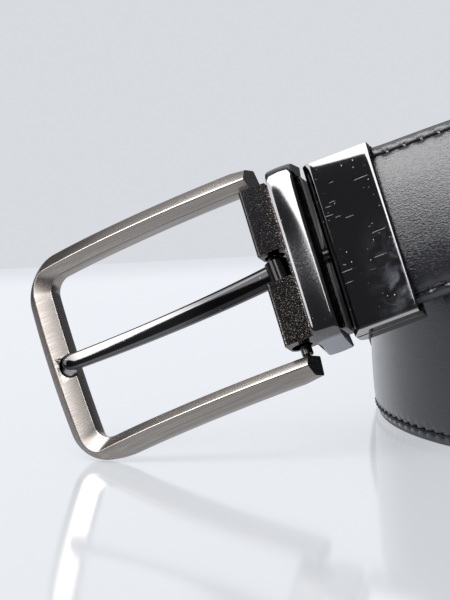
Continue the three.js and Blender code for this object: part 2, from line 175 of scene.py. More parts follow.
# Studio
TABLE_EDGE = 272
TABLE_EDGE_FADE = 48
TABLE_REACH = 3500
TABLE_TONE = (0.15, 0.153, 0.16)
TABLE_GLOW = (0.445, 0.460, 0.480)
TABLE_EDGE_TONE = (0.16, 0.165, 0.17)
TABLE_EDGE_GLOW = (0.32, 0.335, 0.355)
SURROUND_TONE = (0.685, 0.704, 0.745)
BUCKLE_MIDDLE = (-90, -50, 35)
SOFTBOX_DISTANCE = 1000
TOP_FRONT_SOFTBOX = {"azimuth": -50, "elevation": 56, "size": (940, 650), "brightness": 7.0}
LEFT_SOFTBOX = {"azimuth": -72, "elevation": 27, "size": (700, 560), "brightness": 3.8}
LEFT_BACK_SOFTBOX = {"azimuth": -122, "elevation": 60, "size": (900, 600), "brightness": 0.36}
SHELL_DISTANCE = 1500
SHELL_GRID = {"rows": 12, "columns": 24}
SHELL_TONE = (0.12, 0.12, 0.125)
FRONT_SHELL = {"azimuths": (-150, 125), "elevations": (-4, 84)}
RIGHT_SHELL = {"azimuths": (125, 165), "elevations": (-4, 45)}

# Finishes. IN_MILLIMETRES turns object coordinates, which are in metres, into millimetres.
IN_MILLIMETRES = (1000, 1000, 1000)
BLACK_LEATHER = {"dark": (0.009, 0.009, 0.012), "light": (0.015, 0.015, 0.019), "roughness": 0.12}
BROWN_LEATHER = {"dark": (0.030, 0.016, 0.010), "light": (0.055, 0.030, 0.018), "roughness": 0.42}
PAINT_TONES = {"low": (0.028, 0.028, 0.031), "high": (0.06, 0.06, 0.066)}
THREAD_TONES = {"low": (0.006, 0.006, 0.007), "high": (0.02, 0.02, 0.022)}
BRUSHED_TONES = {"low": (0.275, 0.250, 0.232), "high": (0.38, 0.349, 0.323)}
# The loop's foot tone is a painted reflection at its lower end
LOOP_TONES = {"plain": (0.17, 0.165, 0.168), "mottled": (0.30, 0.30, 0.31), "foot": (0.40, 0.405, 0.44)}
# The prong's middle tone, and the darker tone of its ends, which is painted shade
PRONG_TONES_WITH_PAINTED_SHADE = {"middle": (0.15, 0.147, 0.15), "ends": (0.042, 0.041, 0.043)}
# The clamp's foot tone is a painted reflection along its lower front edge
CLAMP_TONES = {"plain": (0.155, 0.150, 0.152), "haze": (0.18, 0.19, 0.22), "foot": (0.5, 0.48, 0.47)}
# The casting's own specks, which the finish crowds at the right as a painted highlight
CAST_TONES = {"plain": (0.035, 0.034, 0.036), "specks": (0.26, 0.22, 0.185)}
DARK_STEEL = {"tone": (0.11, 0.105, 0.103), "roughness": 0.16, "dust": 0.2}
# A darker polished finish: painted shade on the prong's ring, the frame's notch and the arm holes
PAINTED_SHADE_METAL = {"tone": (0.04, 0.039, 0.041), "roughness": 0.14, "dust": 0.2}
DUST_TONE = (0.7, 0.68, 0.65)
SCRATCH_TONE = (0.75, 0.73, 0.7)


def turned(axis, angle):
    """A turn about an axis, in degrees."""
    return Matrix.Rotation(math.radians(angle), 4, axis)


def add_camera():
    data = bpy.data.cameras.new("camera")
    data.lens = CAMERA_LENS
    data.sensor_width = CAMERA_SENSOR
    camera = bpy.data.objects.new("camera", data)
    bpy.context.scene.collection.objects.link(camera)
    aim = turned("X", 90 - CAMERA_TILT) @ turned("Z", -CAMERA_ROLL)
    camera.matrix_world = Matrix.Translation(Vector(CAMERA_PLACE) * MM) @ aim
    bpy.context.scene.camera = camera


# Shader building


class Signal:
    """A value that changes over a surface. Arithmetic on it adds Math nodes."""

    def __init__(self, finish, socket):
        self.finish = finish
        self.socket = socket

    def maths(self, operation, *others):
        return self.finish.node("ShaderNodeMath", {"operation": operation}, dict(enumerate((self, *others))))

    def __add__(self, other):
        return self.maths("ADD", other)

    __radd__ = __add__

    def __mul__(self, other):
        return self.maths("MULTIPLY", other)

    __rmul__ = __mul__

    def __rsub__(self, other):
        return self * -1 + other

    def rising(self, low, high):
        """0 below low, 1 above high and a smooth rise between them."""
        inputs = {"Value": self, "From Min": low, "From Max": high}
        return self.finish.node("ShaderNodeMapRange", {"interpolation_type": "SMOOTHSTEP"}, inputs)


class Finish:
    """One material, built from nodes."""

    def __init__(self, name):
        self.material = bpy.data.materials.new(name)
        self.material.use_nodes = True
        self.tree = self.material.node_tree
        self.tree.nodes.clear()

    def node(self, kind, settings=(), inputs=(), output=0):
        made = self.tree.nodes.new(kind)
        for name, value in dict(settings).items():
            setattr(made, name, value)
        for name, value in dict(inputs).items():
            if isinstance(value, Signal):
                self.tree.links.new(value.socket, made.inputs[name])
            else:
                made.inputs[name].default_value = value
        return Signal(self, made.outputs[output]) if made.outputs else None

    def place(self, kind, scale):
        """Object or UV coordinates, each axis with its own scale, in 1/mm for UV and 1/m for Object."""
        found = self.node("ShaderNodeTexCoord", output=kind)
        return self.node("ShaderNodeMapping", inputs={"Vector": found, "Scale": scale})

    def axis(self, vector, name):
        return self.node("ShaderNodeSeparateXYZ", inputs={"Vector": vector}, output=name)

    def noise(self, vector, scale=1.0, detail=2.0, distortion=0.0):
        inputs = {"Vector": vector, "Scale": scale, "Detail": detail, "Distortion": distortion}
        return self.node("ShaderNodeTexNoise", inputs=inputs)

    def cells(self, vector, scale=1.0):
        """How far a place is from the nearest of many scattered points."""
        inputs = {"Vector": vector, "Scale": scale}
        return self.node("ShaderNodeTexVoronoi", inputs=inputs, output="Distance")

    def dust(self, vector, scale, size, patches, chosen):
        """Small round specks, which fade out between two sizes, where a broader noise picks them."""
        specks = 1 - self.cells(vector, scale).rising(*size)
        return specks * self.noise(vector, patches, detail=1.0).rising(*chosen)

    def blend(self, amount, low, high):
        """A colour between two colours. The sockets of the node's colour inputs are 6 and 7."""
        inputs = {"Factor": amount, 6: self.colour(low), 7: self.colour(high)}
        return self.node("ShaderNodeMix", {"data_type": "RGBA"}, inputs, output=2)

    def colour(self, value):
        return (*value, 1) if isinstance(value, tuple) else value

    def bump(self, height, distance, strength=1.0):
        inputs = {"Height": height, "Distance": distance * MM, "Strength": strength}
        return self.node("ShaderNodeBump", inputs=inputs)

    def surface(self, **inputs):
        """Ends the material with a Principled shader. Names are its sockets, with _ for a space."""
        named = {name.replace("_", " "): self.colour(value) for name, value in inputs.items()}
        shader = self.node("ShaderNodeBsdfPrincipled", inputs=named)
        self.node("ShaderNodeOutputMaterial", inputs={"Surface": shader})
        return self.material


# Materials


def leather(name, dark, light, roughness):
    """Fine wrinkled grain, drawn out along the strap. UV is in millimetres along and round it."""
    finish = Finish(name)
    wrinkle = finish.noise(finish.place("UV", (0.7, 1.5, 1.0)), scale=1.9, detail=3.0, distortion=1.6)
    pores = finish.cells(finish.place("UV", (1.0, 1.6, 1.0)), scale=1.9)
    mottle = finish.noise(finish.place("UV", (0.05, 0.09, 1.0)), detail=3.0)
    return finish.surface(
        Base_Color=finish.blend(mottle, dark, light),
        Roughness=roughness + mottle * 0.04 + pores * 0.02,
        IOR=1.5,
        Specular_IOR_Level=0.7,
        Normal=finish.bump(wrinkle + pores * 0.35, distance=0.065, strength=0.8),
    )


def edge_paint():
    finish = Finish("edge paint")
    ripple = finish.noise(finish.place("UV", (0.5, 1.2, 1.0)), detail=3.0)
    return finish.surface(
        Base_Color=finish.blend(ripple, **PAINT_TONES),
        Roughness=0.42 + ripple * 0.16,
        Normal=finish.bump(ripple, distance=0.05, strength=0.6),
    )


def thread():
    finish = Finish("black thread")
    twist = finish.noise(finish.place("Object", (1500, 1500, 1500)))
    return finish.surface(
        Base_Color=finish.blend(twist, **THREAD_TONES),
        Roughness=0.62,
        Normal=finish.bump(twist, distance=0.08),
    )


def brushed_gunmetal():
    """Brushed along X on every face, so along the arms and across the bar."""
    finish = Finish("brushed gunmetal")
    fine = finish.noise(finish.place("Object", (22, 5200, 1300)))
    broad = finish.noise(finish.place("Object", (9, 1300, 260)))
    streak = (fine * 0.6 + broad * 0.4).rising(0.3, 0.7)
    return finish.surface(
        Base_Color=finish.blend(streak, **BRUSHED_TONES),
        Metallic=1.0,
        Roughness=0.3 - streak * 0.08,
        Normal=finish.bump(streak, distance=0.001, strength=0.3),
    )


def polished_gunmetal(name, tone, roughness, dust):
    """Polished, in one tone, with slight waves and dust on it."""
    finish = Finish(name)
    place = finish.place("Object", IN_MILLIMETRES)
    waves = finish.noise(place, scale=0.25)
    mark = finish.dust(place, 0.9, size=(0.07, 0.13), patches=0.6, chosen=(0.56, 0.62)) * dust
    return finish.surface(
        Base_Color=finish.blend(mark, tone, DUST_TONE),
        Metallic=1.0,
        Roughness=roughness + waves * 0.03 + mark * 0.4,
        Normal=finish.bump(waves, distance=0.02, strength=0.25),
    )


def loop_gunmetal():
    """Polished, with fine dust, a mottled band below the middle and a paler lower end, which is a painted
    reflection.
    """
    finish = Finish("mottled gunmetal with painted reflection")
    place = finish.place("Object", IN_MILLIMETRES)
    height = finish.axis(place, "Y")
    band = height.rising(-14.0, -2.0) * (1 - height.rising(-1.0, 7.0))
    mottle = finish.noise(place, scale=3.2, detail=4.0).rising(0.35, 0.7)
    mottled = band * (mottle * 0.5 + 0.2)
    specks = finish.dust(place, 1.3, size=(0.06, 0.11), patches=0.8, chosen=(0.5, 0.6))
    # The paler lower end is a painted reflection, not a tone of the metal
    foot = 1 - height.rising(-19.0, -18.4)
    tone = finish.blend(mottled, LOOP_TONES["plain"], LOOP_TONES["mottled"])
    with_foot_reflection = finish.blend(foot, tone, LOOP_TONES["foot"])
    return finish.surface(
        Base_Color=finish.blend(specks * 0.6, with_foot_reflection, DUST_TONE),
        Metallic=1.0,
        Roughness=0.08 + mottled * 0.16 + specks * 0.25,
    )


def prong_gunmetal():
    """Polished, and darker at both ends: painted shade where the bent prong's highlight falls away."""
    finish = Finish("prong gunmetal with shade painted at the ends")
    place = finish.place("Object", IN_MILLIMETRES)
    waves = finish.noise(place, scale=0.25)
    along = finish.axis(place, "X")
    # shaded is 1 at both ends, where the tone darkens as painted shade
    shaded = along.rising(-27.0, -14.0) + (1 - along.rising(-48.5, -44.5))
    mark = finish.dust(place, 0.9, size=(0.07, 0.13), patches=0.6, chosen=(0.56, 0.62)) * 0.4
    tone = finish.blend(shaded, PRONG_TONES_WITH_PAINTED_SHADE["middle"], PRONG_TONES_WITH_PAINTED_SHADE["ends"])
    return finish.surface(
        Base_Color=finish.blend(mark, tone, DUST_TONE),
        Metallic=1.0,
        Roughness=0.06 + waves * 0.03 + mark * 0.4,
        Normal=finish.bump(waves, distance=0.02, strength=0.25),
    )


def clamp_gunmetal():
    """Polished, with fine scratches across, dust, a bluish haze at the lower right and a paler foot, which
    is a painted reflection.
    """
    finish = Finish("handled gunmetal with painted reflection")
    place = finish.place("Object", IN_MILLIMETRES)
    height = finish.axis(place, "Y")
    right = finish.axis(place, "X").rising(3.0, 12.5)
    low = 1 - height.rising(-14.0, 9.0)
    clouds = finish.noise(place, scale=0.35, detail=5.0, distortion=0.8).rising(0.3, 0.72)
    haze = right * low * clouds
    across = finish.place("Object", (130, 2400, 900))
    scratches = finish.noise(across, distortion=0.4).rising(0.66, 0.74)
    scratched = scratches * finish.noise(place, scale=0.22).rising(0.42, 0.62)
    specks = finish.dust(place, 1.1, size=(0.06, 0.12), patches=0.9, chosen=(0.52, 0.6))
    mark = (scratched * 0.3 + specks * 0.8).rising(0.0, 1.0)
    hazed = finish.blend(haze, CLAMP_TONES["plain"], CLAMP_TONES["haze"])
    # The paler foot is a painted reflection along the lower front edge
    foot = 1 - height.rising(-18.0, -17.5)
    with_foot_reflection = finish.blend(foot, hazed, CLAMP_TONES["foot"])
    return finish.surface(
        Base_Color=finish.blend(mark, with_foot_reflection, SCRATCH_TONE),
        Metallic=1.0,
        Roughness=0.055 + haze * 0.15 + mark * 0.3,
        Normal=finish.bump(scratches, distance=0.01, strength=0.4),
    )


def cast_gunmetal():
    """A slightly rough casting with pits and bronze-coloured specks, with more specks at the right as a
    painted highlight.
    """
    finish = Finish("cast gunmetal")
    place = finish.place("Object", IN_MILLIMETRES)
    grains = finish.noise(place, scale=3.4, detail=3.0)
    pits = finish.cells(place, scale=2.4)
    # The specks are the casting's own; their crowding at the right is a painted highlight
    right = finish.axis(place, "X").rising(-87.0, -79.0)
    specks_and_highlight = (grains + right * 0.13).rising(0.66, 0.76)
    return finish.surface(
        Base_Color=finish.blend(specks_and_highlight, CAST_TONES["plain"], CAST_TONES["specks"]),
        Metallic=1.0,
        Roughness=0.13 + grains * 0.08,
        Normal=finish.bump(grains + pits * 0.4, distance=0.022, strength=0.7),
    )


def table_gloss():
    """Pale gloss. Its own glow gives most of its tone, and fades at the far edge towards what is behind."""
    finish = Finish("pale gloss table")
    depth = finish.axis(finish.place("Object", IN_MILLIMETRES), "Y")
    far = depth.rising(TABLE_EDGE - TABLE_EDGE_FADE, TABLE_EDGE)
    return finish.surface(
        Base_Color=finish.blend(far, TABLE_TONE, TABLE_EDGE_TONE),
        Emission_Color=finish.blend(far, TABLE_GLOW, TABLE_EDGE_GLOW),
        Emission_Strength=1.0,
        Roughness=0.09,
        IOR=1.45,
        Specular_IOR_Level=0.28,
    )


# Mesh building


def add_piece(name, mesh, materials, place=None):
    piece = bpy.data.objects.new(name, mesh)
    bpy.context.scene.collection.objects.link(piece)
    for material in materials:
        mesh.materials.append(material)
    if place is not None:
        piece.matrix_world = place
    return piece


def tidy_mesh(name, points, faces):
    """A mesh from points in millimetres, with its faces turned outwards."""
    mesh = bpy.data.meshes.new(name)
    mesh.from_pydata((np.asarray(points, float) * MM).tolist(), [], faces)
    build = bmesh.new()
    build.from_mesh(mesh)
    bmesh.ops.recalc_face_normals(build, faces=build.faces)
    build.to_mesh(mesh)
    build.free()
    return mesh


def loft(name, rings):
    """Joins closed rings of points (millimetres), one after the other, and closes both ends."""
    rings = np.asarray(rings, float)
    count, around = rings.shape[:2]
    quads = []
    for ring in range(count - 1):
        start = ring * around
        for k in range(around):
            a, b = start + k, start + (k + 1) % around
            quads.append((a, b, b + around, a + around))
    first = tuple(reversed(range(around)))
    last = tuple(range((count - 1) * around, count * around))
    return tidy_mesh(name, rings.reshape(-1, 3), [*quads, first, last])


def smooth(piece, sharp_angle, softened=0.0):
    """Smooth shading with crisp edges above an angle, and those edges softened by a small radius."""
    mesh = piece.data
    mesh.polygons.foreach_set("use_smooth", [True] * len(mesh.polygons))
    mesh.set_sharp_from_angle(angle=math.radians(sharp_angle))
    if softened:
        edge = piece.modifiers.new("softened edges", "BEVEL")
        edge.width = softened * MM
        edge.segments = 2
        edge.limit_method = "ANGLE"
        edge.angle_limit = math.radians(sharp_angle)
        edge.harden_normals = True


def combine(piece, tool, operation):
    """Joins tool to piece or cuts it out of it, and removes tool."""
    change = piece.modifiers.new("shape", "BOOLEAN")
    change.operation = operation
    change.solver = "EXACT"
    change.object = tool
    change.material_mode = "TRANSFER"
    bpy.context.view_layer.update()
    evaluated = piece.evaluated_get(bpy.context.evaluated_depsgraph_get())
    shaped = bpy.data.meshes.new_from_object(evaluated)
    piece.modifiers.clear()
    piece.data = shaped
    bpy.data.objects.remove(tool)


def round_bar(axis, radius, start, end, centre, sides=48):
    """A round bar along X or Y, as a mesh."""
    turn = np.linspace(0, 2 * math.pi, sides, endpoint=False)
    first, second = radius * np.cos(turn), radius * np.sin(turn)
    rings = []
    for at in (start, end):
        level = np.full(sides, at)
        if axis == "X":
            columns = (level, first + centre[1], second + centre[2])
        else:
            columns = (first + centre[0], level, second + centre[2])
        rings.append(np.stack(columns, 1))
    return loft("bar", rings)


def cuboid(x0, x1, y0, y1, z0, z1):
    rings = [[(x, y0, z0), (x, y1, z0), (x, y1, z1), (x, y0, z1)] for x in (x0, x1)]
    return loft("cuboid", rings)


def arc(centre, radius, start, end, steps):
    """Points on an arc, from one angle to another."""
    turn = np.radians(np.linspace(start, end, steps))
    return [(centre[0] + radius * math.cos(a), centre[1] + radius * math.sin(a)) for a in turn]


def rounded_corner(start, corner, end, steps):
    """Points on a curve from start to end, drawn towards the corner between them."""
    points = []
    for share in np.linspace(0, 1, steps):
        points.append(start * (1 - share) ** 2 + corner * 2 * share * (1 - share) + end * share**2)
    return points


def between(low, high, share):
    return low + (high - low) * share


def finished(piece, body, slot, *nodes):
    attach(piece, body)
    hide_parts(*nodes)


# Strap


def follow_route():
    """The strap's stations, a ring step apart, as arrays of place, travel, width, normal and cupping."""
    heading = math.radians(TAIL_START["heading"])
    place = Vector((TAIL_START["x"], TAIL_START["y"], STRAP_WIDTH / 2))
    travel = Vector((math.cos(heading), math.sin(heading), 0))
    width = Vector((0, 0, 1))
    stations = [(place.copy(), travel.copy(), width.copy())]
    for row, following in zip(ROUTE, ROUTE[1:]):
        steps = math.floor(row["length"] / RING_STEP + 0.5)
        length = row["length"] / steps
        for k in range(steps):
            share = (k + 0.5) / steps
            bend = (row["bend"] + (following["bend"] - row["bend"]) * share) * MM
            twist = math.radians(row["twist"] + (following["twist"] - row["twist"]) * share) * MM
            turn = travel * twist - width * bend
            half = Matrix.Rotation(turn.length * length / 2, 3, turn)
            place += (half @ travel) * length
            travel = half @ (half @ travel)
            width = half @ (half @ width)
            stations.append((place.copy(), travel.copy(), width.copy()))
    place, travel, width = (np.array([station[k] for station in stations]) for k in range(3))
    from_end = (len(place) - 1 - np.arange(len(place))) * RING_STEP
    found = {
        "place": place + width * (MOUTH_LIFT["height"] * fading(from_end, MOUTH_LIFT))[:, None],
        "travel": travel,
        "width": width,
        "normal": np.cross(width, travel),
        "cup": CUPPING["depth"] * fading(from_end, CUPPING),
    }
    return {name: values[round(TAIL_TRIM / RING_STEP):] for name, values in found.items()}


def fading(from_end, reach):
    """1 over a stretch near the strap's end, falling smoothly to 0 before and after it."""
    knots = [reach[name] for name in ("start", "full", "hold", "end")]
    share = np.interp(from_end, knots, (0, 1, 1, 0))
    return share * share * (3 - 2 * share)


def strap_height(inset, from_hole):
    """The face's height over the strap's middle plane, so far from the edge and from a stitch hole."""
    inside = inset - STITCH["inset"]
    rolled = STRAP_ROLL["depth"] * np.exp(-inside / STRAP_ROLL["reach"])
    crown = STRAP_THICKNESS / 2 - rolled - STRAP_CROWN["depth"] * np.exp(-inside / STRAP_CROWN["reach"])
    seam = STRAP_THICKNESS / 2 - STRAP_ROLL["depth"] - STRAP_CROWN["depth"]
    rounded = EDGE_ROUNDING["depth"] * np.exp(-inset / EDGE_ROUNDING["reach"])
    margin = seam - MARGIN_SLOPE * (STITCH["inset"] - inset) - rounded
    face = np.where(inset < STITCH["inset"], margin, crown)
    channel = SEAM_CHANNEL["depth"] * np.exp(-((inside / SEAM_CHANNEL["reach"]) ** 2))
    reach = 2 * STITCH["hole_reach"] ** 2
    hole = STITCH["hole_depth"] * np.exp(-(inside**2 + from_hole**2) / reach)
    return face - channel - hole


def hole_distance(ring):
    """How far a ring is from the nearest stitch hole, in millimetres along the strap."""
    around = ring % STITCH["rings"]
    return min(around, STITCH["rings"] - around) * RING_STEP


def strap_ring(station, share, from_hole):
    """One closed section: over the front, the upper edge, the reverse and the lower edge."""
    half = STRAP_WIDTH / 2
    insets = np.array(PAINT_INSETS + FACE_INSETS)
    side = np.stack([half - insets, strap_height(insets, from_hole)], 1)
    front = np.concatenate([side[::-1], [[half, EDGE_HALF]]])
    upper = np.concatenate([front, front[::-1] * (1, -1)])
    section = np.concatenate([upper, upper[::-1] * (-1, 1)])
    section[:, 1] -= station["cup"] * (section[:, 0] / half) ** 2
    section[:, 0] *= share
    across = np.outer(section[:, 0], station["width"])
    out = np.outer(section[:, 1], station["normal"])
    return station["place"] + across + out


def station_at(stations, k):
    return {name: values[k] for name, values in stations.items()}


def tail_rings(first):
    """The rounded end of the tail."""
    rings = []
    for back in TAIL_STATIONS:
        rounded = (1 - back ** TAIL_ROUNDING["bluntness"]) ** TAIL_ROUNDING["power"]
        share = max(TAIL_ROUNDING["least"], rounded)
        moved = {**first, "place": first["place"] - first["travel"] * TAIL_TAPER * back}
        rings.append(strap_ring(moved, share, STITCH["rings"] * RING_STEP / 2))
    return rings


def make_strap(stations, shift, finishes):
    rings = tail_rings(station_at(stations, 0))
    for k in range(len(stations["place"])):
        rings.append(strap_ring(station_at(stations, k), 1.0, hole_distance(k)))
    rings = np.array(rings) + shift
    mesh = loft("strap", rings)
    paint_strap(mesh, rings)
    strap = add_piece("leather_strap", mesh, finishes)
    for k in range(TAIL_HOLES["count"]):
        along = TAIL_HOLES["first"] - TAIL_TRIM + k * TAIL_HOLES["spacing"]
        hole = strap_hole(station_at(stations, round(along / RING_STEP)), shift, finishes)
        combine(strap, hole, "DIFFERENCE")
    smooth(strap, sharp_angle=75)
    finished(strap, "strap_end", "strap_leather", "strap")


def strap_hole(station, shift, finishes):
    """The tool that cuts one of the tail's holes."""
    mesh = round_bar("X", TAIL_HOLES["radius"], -2 * STRAP_THICKNESS, 2 * STRAP_THICKNESS, (0, 0, 0))
    turn = Vector(station["normal"]).to_track_quat("X", "Z").to_matrix().to_4x4()
    place = Matrix.Translation(Vector(station["place"] + shift) * MM) @ turn
    tool = add_piece("hole_tool", mesh, finishes, place)
    mesh.polygons.foreach_set("material_index", [PAINT] * len(mesh.polygons))
    return tool


def paint_strap(mesh, rings):
    """Gives each face its finish and its place in millimetres along and round the strap."""
    around = rings.shape[1]
    quarter = around // 4
    edge = len(PAINT_INSETS)
    section = np.linalg.norm(np.roll(rings[-1], -1, 0) - rings[-1], axis=1)
    round_place = np.concatenate([[0], np.cumsum(section)])
    finish = np.full(len(mesh.polygons), FRONT)
    layer = mesh.uv_layers.new(name="strap")
    uv = np.zeros((len(mesh.loops), 2))
    for polygon in mesh.polygons:
        column = min(vertex % around for vertex in polygon.vertices)
        wraps = column == 0 and any(vertex % around == around - 1 for vertex in polygon.vertices)
        if wraps:
            column = around - 1
        in_half = column % (2 * quarter)
        if quarter - edge - 1 < in_half + 0.5 < quarter + edge:
            finish[polygon.index] = PAINT
        elif quarter <= column < 3 * quarter:
            finish[polygon.index] = REVERSE
        for loop in polygon.loop_indices:
            vertex = mesh.loops[loop].vertex_index
            ring, k = divmod(vertex, around)
            place = round_place[around] if wraps and k == 0 else round_place[k]
            uv[loop] = (ring * RING_STEP, place)
    mesh.polygons.foreach_set("material_index", finish)
    layer.data.foreach_set("uv", uv.ravel())


def stitch_rings(stations, start, side, face, shift):
    """One arched stitch between two holes, as rings of points."""
    turn = np.linspace(0, 2 * math.pi, STITCH_MESH["sides"], endpoint=False)
    circle = np.stack([np.cos(turn), np.sin(turn)], 1) * STITCH["thread"]
    across = STRAP_WIDTH / 2 - STITCH["inset"]
    rings = []
    for share in np.linspace(STITCH_MESH["from"], STITCH_MESH["to"], STITCH_MESH["rings"]):
        low = int(start + share * STITCH["rings"])
        part = start + share * STITCH["rings"] - low
        near, far = station_at(stations, low), station_at(stations, low + 1)
        place = near["place"] * (1 - part) + far["place"] * part + shift
        arch = math.sin(math.pi * share)
        height = STITCH_ARCH["foot"] + STITCH_ARCH["rise"] * arch ** STITCH_ARCH["power"]
        thread = circle * (STITCH_ARCH["thin"] + STITCH_ARCH["swell"] * arch)
        beside = np.outer(side * across + thread[:, 0], near["width"])
        out = face * (height + thread[:, 1]) - near["cup"] * (2 * across / STRAP_WIDTH) ** 2
        rings.append(place + beside + np.outer(out, near["normal"]))
    return rings


def make_stitching(stations, shift, finish):
    """Short arched stitches along both edges of both faces, each between two holes."""
    points, faces = [], []
    sides, count = STITCH_MESH["sides"], STITCH_MESH["rings"]
    for side in (1, -1):
        for face in (1, -1):
            for start in range(0, len(stations["place"]) - STITCH["rings"], STITCH["rings"]):
                base = len(points)
                rings = stitch_rings(stations, start, side, face, shift)
                points.extend(point for ring in rings for point in ring)
                for ring in range(base, base + (count - 1) * sides, sides):
                    for k in range(sides):
                        a, b = ring + k, ring + (k + 1) % sides
                        faces.append((a, b, b + sides, a + sides))
                faces.append(tuple(base + k for k in range(sides)))
                faces.append(tuple(base + (count - 1) * sides + k for k in range(sides)))
    piece = add_piece("stitching", tidy_mesh("stitching", points, faces), [finish])
    smooth(piece, sharp_angle=80)
    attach(piece, "strap_end")


# Clamp


def clamp_section(y):
    """The clamp's outline in XZ at one height, its front dipping towards the top, right side and foot."""
    length, depth, fold = CLAMP["length"], CLAMP["depth"], CLAMP["fold"]
    top, side, foot = CLAMP_DIP["top"], CLAMP_DIP["side"], CLAMP_DIP["foot"]
    from_top = CLAMP["height"] / 2 - y
    top_dip = top["depth"] * math.exp(-from_top / top["reach"])
    foot_dip = foot["depth"] * math.exp((from_top - CLAMP["height"]) / foot["reach"])
    front = []
    for x in np.linspace(fold, length - CLAMP_EDGE["inset"], 22):
        share = top["left_share"] + (1 - top["left_share"]) * x / length
        side_dip = side["depth"] * math.exp(-(length - x) / side["reach"])
        front.append((x, -top_dip * share - side_dip - foot_dip))
    left_drop, right_drop = front[0][1], front[-1][1]
    fold_back = arc((fold, fold - depth), fold, 270 - CLAMP_FOLD_END, 180, 9)
    fold_front = arc((fold, left_drop - fold), fold, 180, 90 + CLAMP_FOLD_END, 9)
    right = [
        (length - CLAMP_EDGE["shoulder_x"], right_drop - CLAMP_EDGE["shoulder_z"]),
        (length, right_drop - CLAMP_EDGE["side_z"]),
        (length, CLAMP_EDGE["inset"] - depth),
        (length - CLAMP_EDGE["inset"], -depth),
    ]
    return [(x, y, z) for x, z in (*fold_back, *fold_front, *front, *right)]


def make_clamp(finish, place):
    half = CLAMP["height"] / 2
    past_end = CLAMP["length"] + CUT_PAST
    spread = np.geomspace(CLAMP_LEVELS["spread_from"], half, CLAMP_LEVELS["spread"])
    near = np.concatenate([CLAMP_LEVELS["at_end"], spread])
    from_top = np.concatenate([near, 2 * half - near[-2::-1]])
    sections = [clamp_section(half - gap) for gap in from_top]
    clamp = add_piece("clamp", loft("clamp", sections), [finish], place)
    middle = -CLAMP["depth"] / 2
    slot_half, slot_depth = CLAMP_SLOT["height"] / 2, CLAMP_SLOT["depth"] / 2
    back, front = middle - slot_depth, middle + slot_depth
    tools = [
        cuboid(CLAMP["wall"], past_end, -slot_half, slot_half, back, front),
        round_bar("X", STEM_HOLE_RADIUS, -CUT_PAST, CLAMP["wall"] + CUT_PAST, (0, 0, middle)),
    ]
    groove_top = -CLAMP_GROOVE["from"]
    groove_foot = groove_top - CLAMP_GROOVE["width"]
    for side in (-1, 1):
        low, high = sorted((side * (half - CLAMP_GROOVE["depth"]), side * (half + CUT_PAST)))
        tools.append(cuboid(-CUT_PAST, past_end, low, high, groove_foot, groove_top))
    for tool in tools:
        combine(clamp, add_piece("tool", tool, [finish], place), "DIFFERENCE")
    smooth(clamp, sharp_angle=32, softened=0.1)
    finished(clamp, "strap_end", "polished_gunmetal", "clamp_shell")


# Keeper loop


def half_loop(half_front, half_back, front, radius):
    """Half of an outline in YZ: up the leg, round the corner and along the front to its middle."""
    foot, corner = Vector((half_back, LOOP["back"])), Vector((half_front, front))
    leg = (corner - foot).normalized()
    reach = radius / math.tan(math.acos(-leg.x) / 2)
    start, end = corner - leg * reach, corner - Vector((reach, 0))
    up = [foot.lerp(start, share) for share in np.linspace(0, 1, 8, endpoint=False)]
    along = [end.lerp(Vector((0, front)), share) for share in np.linspace(0, 1, 9)[1:]]
    return [*up, *rounded_corner(start, corner, end, 12), *along]


def both_halves(half):
    return [*half, *(Vector((-point.x, point.y)) for point in reversed(half[:-1]))]


def make_loop(finish, place):
    """The loop's outer and inner outline are paired point by point, and each pair gives a section."""
    inner_front, inner_half = LOOP["front"] - LOOP["bar"], LOOP_HALF["inner"]
    outer = half_loop(LOOP_HALF["front"], LOOP_HALF["back"], LOOP["front"], LOOP_CORNER["outer"])
    inner = half_loop(inner_half, inner_half, inner_front, LOOP_CORNER["inner"])
    left, right = LOOP["left"], LOOP["right"]
    middle, half = (left + right) / 2, (right - left) / 2
    rings = []
    for out, core in zip(both_halves(outer), both_halves(inner)):
        away = (out - core).normalized()
        ring = []
        for share in np.linspace(-1, 1, 15):
            past = max(0, abs(share) - LOOP_EDGE["from"])
            dip = LOOP_CROWN * share**2 + LOOP_EDGE["depth"] * past**2 / LOOP_EDGE["spread"]
            point = out - away * dip
            reach = between(LOOP_LEAN["left_reach"], LOOP_LEAN["right_reach"], (share + 1) / 2)
            lean = LOOP_LEAN["drop"] * (1 - math.erf(max(0, LOOP_HALF["front"] - out.x) / reach))
            ring.append((middle + half * share, point.x, point.y - lean))
        for x in (right - LOOP_INNER_CHAMFER, left + LOOP_INNER_CHAMFER):
            ring.append((x, core.x, core.y))
        rings.append(ring)
    loop = add_piece("loop", loft("loop", rings), [finish], place)
    smooth(loop, sharp_angle=40, softened=0.12)
    finished(loop, "swivel_block", "polished_gunmetal", "keeper_loop")


# Hinge block and axle


def softened_copy(name, node, finish, body, slot, softened):
    """A copy of a CAD node with its flat faces whole again and its edges softened."""
    build = bmesh.new()
    build.from_mesh(frame["nodes"][node].data)
    bmesh.ops.remove_doubles(build, verts=build.verts, dist=1e-6)
    bmesh.ops.dissolve_limit(build, angle_limit=math.radians(1), verts=build.verts, edges=build.edges)
    mesh = bpy.data.meshes.new(name)
    build.to_mesh(mesh)
    build.free()
    piece = add_piece(name, mesh, [finish])
    smooth(piece, sharp_angle=32, softened=softened)
    finished(piece, body, slot, node)


